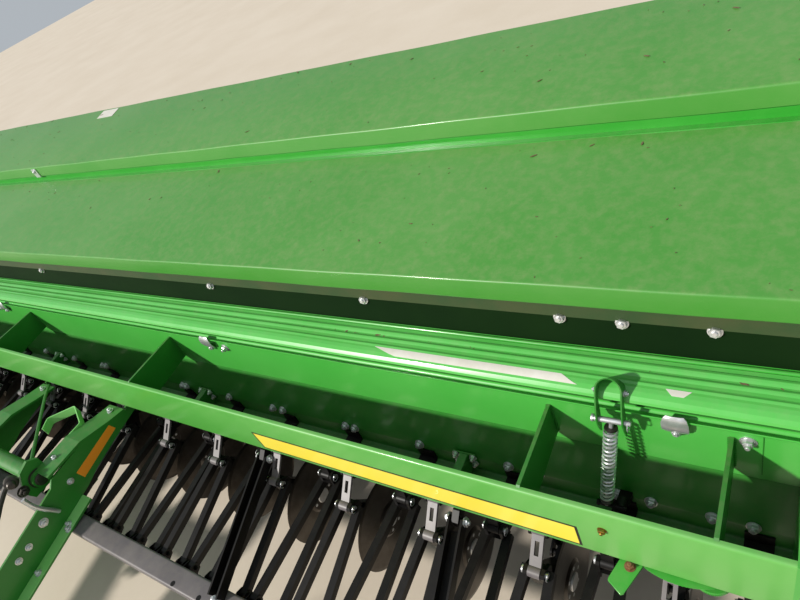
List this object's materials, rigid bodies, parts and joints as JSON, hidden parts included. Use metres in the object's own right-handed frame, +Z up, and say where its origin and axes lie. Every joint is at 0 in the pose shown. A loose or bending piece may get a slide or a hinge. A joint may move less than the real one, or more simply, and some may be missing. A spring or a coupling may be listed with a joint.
{
  "type": "seed drill",
  "caption": "Towed end-wheel seed drill: long grain and small-seed boxes with sloping lids, liftable single-disc openers, press wheels, A-frame tongue and hitch.",
  "frame": {"origin": "on the ground, midway between the wheels and midway between the hitch's nose and the tyres' rear", "axes": "+X along the seed box to the right in the picture, which is the machine's left side, +Y towards the rear, +Z up"},
  "size_m": [5.8336, 3.78, 1.3412],
  "materials": {
    "green_paint": "gloss",
    "dark_green_paint": "gloss",
    "black_paint": "semi-gloss",
    "grey_paint": "satin",
    "cast_iron": "matte",
    "zinc_plate": "bright",
    "disc_steel": "brushed",
    "chrome_rod": "polished",
    "tyre_rubber": "matte",
    "tube_rubber": "matte"
  },
  "bodies": {
    "frame": {"front_channel": "green_paint", "gusset_bars": "green_paint", "back_plate": "dark_green_paint", "small_seed_box": "green_paint", "grain_box": "green_paint", "end_frames": "green_paint", "rear_beam": "green_paint", "footboard": "dark_green_paint", "feed_cups": "cast_iron", "seed_tubes": "tube_rubber", "drawbar_tube": "grey_paint", "braces": "black_paint", "tongue_plates": "dark_green_paint", "pivot_bridge": "dark_green_paint", "tongue_beam": "green_paint", "hitch": "dark_green_paint", "jack_tube": "green_paint", "hanger_brackets": "black_paint", "shaft_bearings": "green_paint", "latches": "zinc_plate", "spring_hooks": "black_paint", "lid_springs": "zinc_plate", "setting_disc": "green_paint", "drive_case": "green_paint"},
    "left_wheel": {"tyre_left": "tyre_rubber", "rim_left": "green_paint"},
    "right_wheel": {"tyre_right": "tyre_rubber", "rim_right": "green_paint"},
    "front_lid": {"lid_front": "green_paint"},
    "rear_lid": {"lid_rear": "green_paint"},
    "seed_lid": {"small_seed_lid": "green_paint", "spring_clevises": "green_paint"},
    "front_openers": {"front_arms": "black_paint", "front_boots": "black_paint"},
    "rear_openers": {"rear_arms": "black_paint", "rear_boots": "black_paint"},
    "front_disc_rank": {"front_discs": "disc_steel"},
    "rear_disc_rank": {"rear_discs": "disc_steel"},
    "front_press_rank": {"front_press_wheels": "tyre_rubber"},
    "rear_press_rank": {"rear_press_wheels": "tyre_rubber"},
    "lift_shaft": {"rockshaft": "black_paint"},
    "front_lift_straps": {"front_straps": "grey_paint"},
    "rear_lift_straps": {"rear_straps": "grey_paint"},
    "lift_barrel": {"cylinder_barrel": "green_paint"},
    "lift_rod": {"cylinder_rod": "chrome_rod"},
    "jack_foot": {"jack_leg": "zinc_plate"}
  },
  "joints": [
    {"name": "left_wheel_spin", "type": "hinge", "parent": "frame", "child": "left_wheel", "pos_m": [-2.8168, 1.15, 0.445], "axis": [1, 0, 0], "continuous": true},
    {"name": "right_wheel_spin", "type": "hinge", "parent": "frame", "child": "right_wheel", "pos_m": [2.8168, 1.15, 0.445], "axis": [1, 0, 0], "continuous": true},
    {"name": "front_lid_hinge", "type": "hinge", "parent": "frame", "child": "front_lid", "pos_m": [0, 1.167, 1.188], "axis": [-1, 0, 0], "range_deg": [0, 75]},
    {"name": "rear_lid_hinge", "type": "hinge", "parent": "frame", "child": "rear_lid", "pos_m": [0, 1.6, 1.316], "axis": [-1, 0, 0], "range_deg": [0, 80]},
    {"name": "seed_lid_hinge", "type": "hinge", "parent": "frame", "child": "seed_lid", "pos_m": [0, 0.745, 0.88], "axis": [-1, 0, 0], "range_deg": [0, 60], "deforming": ["lid_springs"]},
    {"name": "opener_lift", "type": "hinge", "parent": "frame", "child": "front_openers", "pos_m": [0, 0.028, 0.366], "axis": [-1, 0, 0], "range_deg": [0, 20], "deforming": ["seed_tubes"]},
    {"name": "rear_opener_lift", "type": "hinge", "parent": "frame", "child": "rear_openers", "pos_m": [0, 0.028, 0.366], "axis": [-1, 0, 0], "range_deg": [0, 9]},
    {"name": "rockshaft_turn", "type": "hinge", "parent": "frame", "child": "lift_shaft", "pos_m": [0, 0.54, 0.45], "axis": [1, 0, 0], "range_deg": [0, 36.9]},
    {"name": "front_strap_pivot", "type": "hinge", "parent": "front_openers", "child": "front_lift_straps", "pos_m": [0, 0.35, 0.472], "axis": [1, 0, 0], "range_deg": [0, 52.1]},
    {"name": "rear_strap_pivot", "type": "hinge", "parent": "rear_openers", "child": "rear_lift_straps", "pos_m": [0, 0.44, 0.438], "axis": [1, 0, 0], "range_deg": [0, 31.9]},
    {"name": "front_disc_spin", "type": "hinge", "parent": "front_openers", "child": "front_disc_rank", "pos_m": [0, 0.43, 0.26277], "axis": [1, 0, 0], "continuous": true},
    {"name": "rear_disc_spin", "type": "hinge", "parent": "rear_openers", "child": "rear_disc_rank", "pos_m": [0, 0.81, 0.25243], "axis": [1, 0, 0], "continuous": true},
    {"name": "front_press_spin", "type": "hinge", "parent": "front_openers", "child": "front_press_rank", "pos_m": [0, 0.76112, 0.37637], "axis": [1, 0, 0], "continuous": true},
    {"name": "rear_press_spin", "type": "hinge", "parent": "rear_openers", "child": "rear_press_rank", "pos_m": [0, 1.15671, 0.30077], "axis": [1, 0, 0], "continuous": true},
    {"name": "barrel_pivot", "type": "hinge", "parent": "frame", "child": "lift_barrel", "pos_m": [0, -0.42, 0.262], "axis": [-1, 0, 0], "range_deg": [0, 2.03]},
    {"name": "rod_slide", "type": "slide", "parent": "lift_barrel", "child": "lift_rod", "axis": [0, 0.999, 0.0441], "range_m": [0, 0.1095]},
    {"name": "jack_slide", "type": "slide", "parent": "frame", "child": "jack_foot", "axis": [0, 0, 1], "range_m": [0, 0.23]}
  ],
  "couplings": [
    {"joint": "rear_opener_lift", "follows": "opener_lift", "ratio": 0.45},
    {"joint": "rockshaft_turn", "follows": "opener_lift", "ratio": 1.845},
    {"joint": "front_strap_pivot", "follows": "opener_lift", "ratio": 2.605},
    {"joint": "rear_strap_pivot", "follows": "opener_lift", "ratio": 1.595},
    {"joint": "barrel_pivot", "follows": "opener_lift", "ratio": 0.1015},
    {"joint": "rod_slide", "follows": "opener_lift", "m_per_rad": 0.31369}
  ]
}
